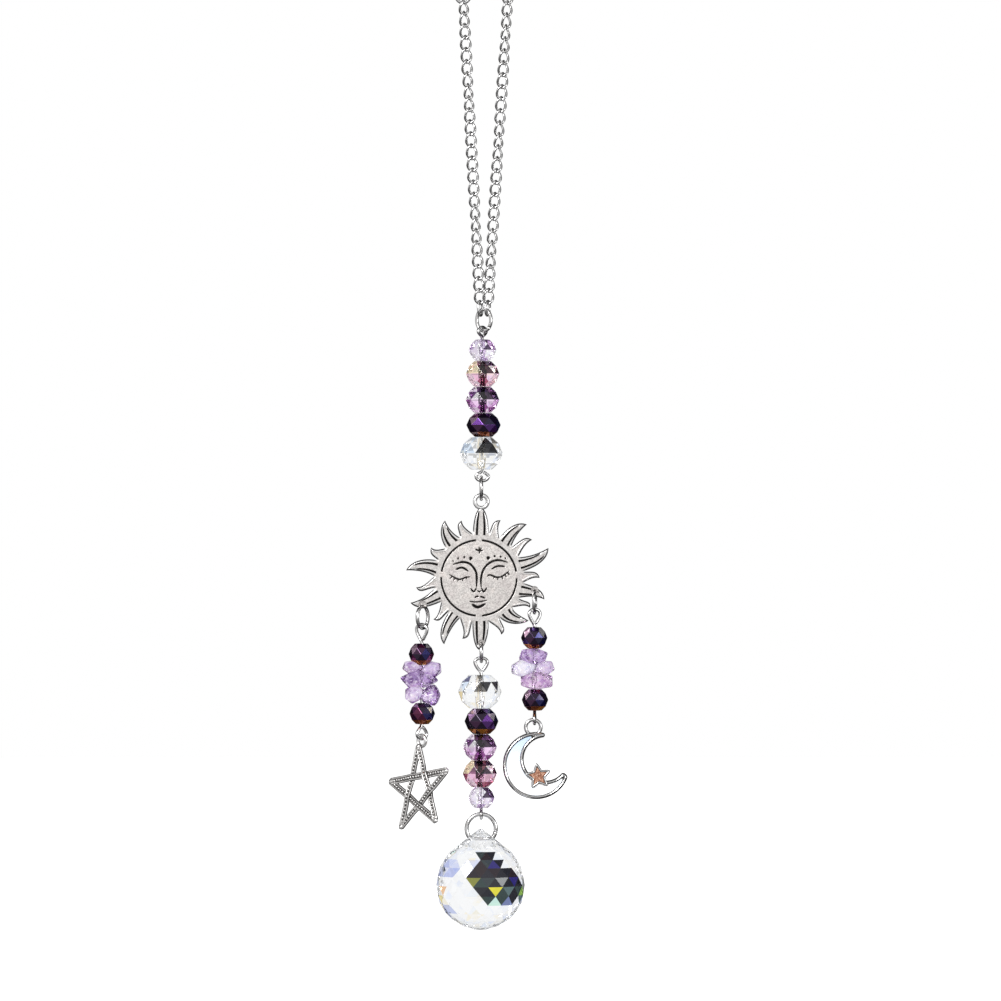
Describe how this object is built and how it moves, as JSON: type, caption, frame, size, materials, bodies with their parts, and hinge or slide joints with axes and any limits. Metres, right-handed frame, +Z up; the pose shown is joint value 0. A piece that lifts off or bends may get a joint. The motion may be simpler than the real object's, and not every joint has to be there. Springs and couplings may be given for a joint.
{
  "type": "crystal suncatcher",
  "caption": "Hanging suncatcher: a chain loop carries cut-glass beads, an ornamental sun with star and moon side drops, and a faceted clear ball that scatters light.",
  "frame": {"origin": "the point inside the top of the chain loop where it rests on a rod or hook", "axes": "+Z up along the hanging length, -Y out of the sun's face, +X to the moon's side"},
  "size_m": [0.0427, 0.0198, 0.2748],
  "materials": {
    "silver_plate": "polished silver plate",
    "antique_silver": "satin cast silver with blackened lines and polished edges",
    "clear_crystal": "cut and polished",
    "lilac_crystal": "cut and polished",
    "rose_crystal": "cut and polished",
    "violet_crystal": "cut and polished",
    "dark_crystal": "cut, with a dark iridescent metallic coat",
    "pale_amethyst": "tumbled quartz",
    "violet_amethyst": "tumbled quartz",
    "clear_quartz": "tumbled quartz",
    "pearl_inlay": "pearly",
    "copper_enamel": "glitter enamel"
  },
  "bodies": {
    "root": {"ball_ring": "silver_plate", "chain_end_ring": "silver_plate", "chain_left_strand": "silver_plate", "chain_right_strand": "silver_plate", "chain_top": "silver_plate", "clasp_claw": "silver_plate", "clasp_lever": "silver_plate", "clasp_ring": "silver_plate", "crystal_ball": "clear_crystal", "left_bottom_bead": "dark_crystal", "left_chip_1": "pale_amethyst", "left_chip_2": "pale_amethyst", "left_chip_3": "violet_amethyst", "left_chip_4": "pale_amethyst", "left_chip_5": "pale_amethyst", "left_pin": "silver_plate", "left_ring": "silver_plate", "left_top_bead": "dark_crystal", "lower_clear_bead": "clear_crystal", "lower_dark_bead": "dark_crystal", "lower_lilac_bead": "lilac_crystal", "lower_pin": "silver_plate", "lower_ring": "silver_plate", "lower_rose_bead": "rose_crystal", "lower_violet_bead": "violet_crystal", "moon_frame": "silver_plate", "moon_inlay": "pearl_inlay", "moon_star_enamel": "copper_enamel", "right_bottom_bead": "dark_crystal", "right_chip_1": "violet_amethyst", "right_chip_2": "clear_quartz", "right_chip_3": "pale_amethyst", "right_chip_4": "pale_amethyst", "right_pin": "silver_plate", "right_ring": "silver_plate", "right_top_bead": "dark_crystal", "star": "antique_silver", "sun": "antique_silver", "sun_ring": "silver_plate", "top_jump_ring": "silver_plate", "upper_clear_bead": "clear_crystal", "upper_dark_bead": "dark_crystal", "upper_lilac_bead": "lilac_crystal", "upper_pin": "silver_plate", "upper_rose_bead": "rose_crystal", "upper_violet_bead": "violet_crystal"}
  },
  "joints": []
}
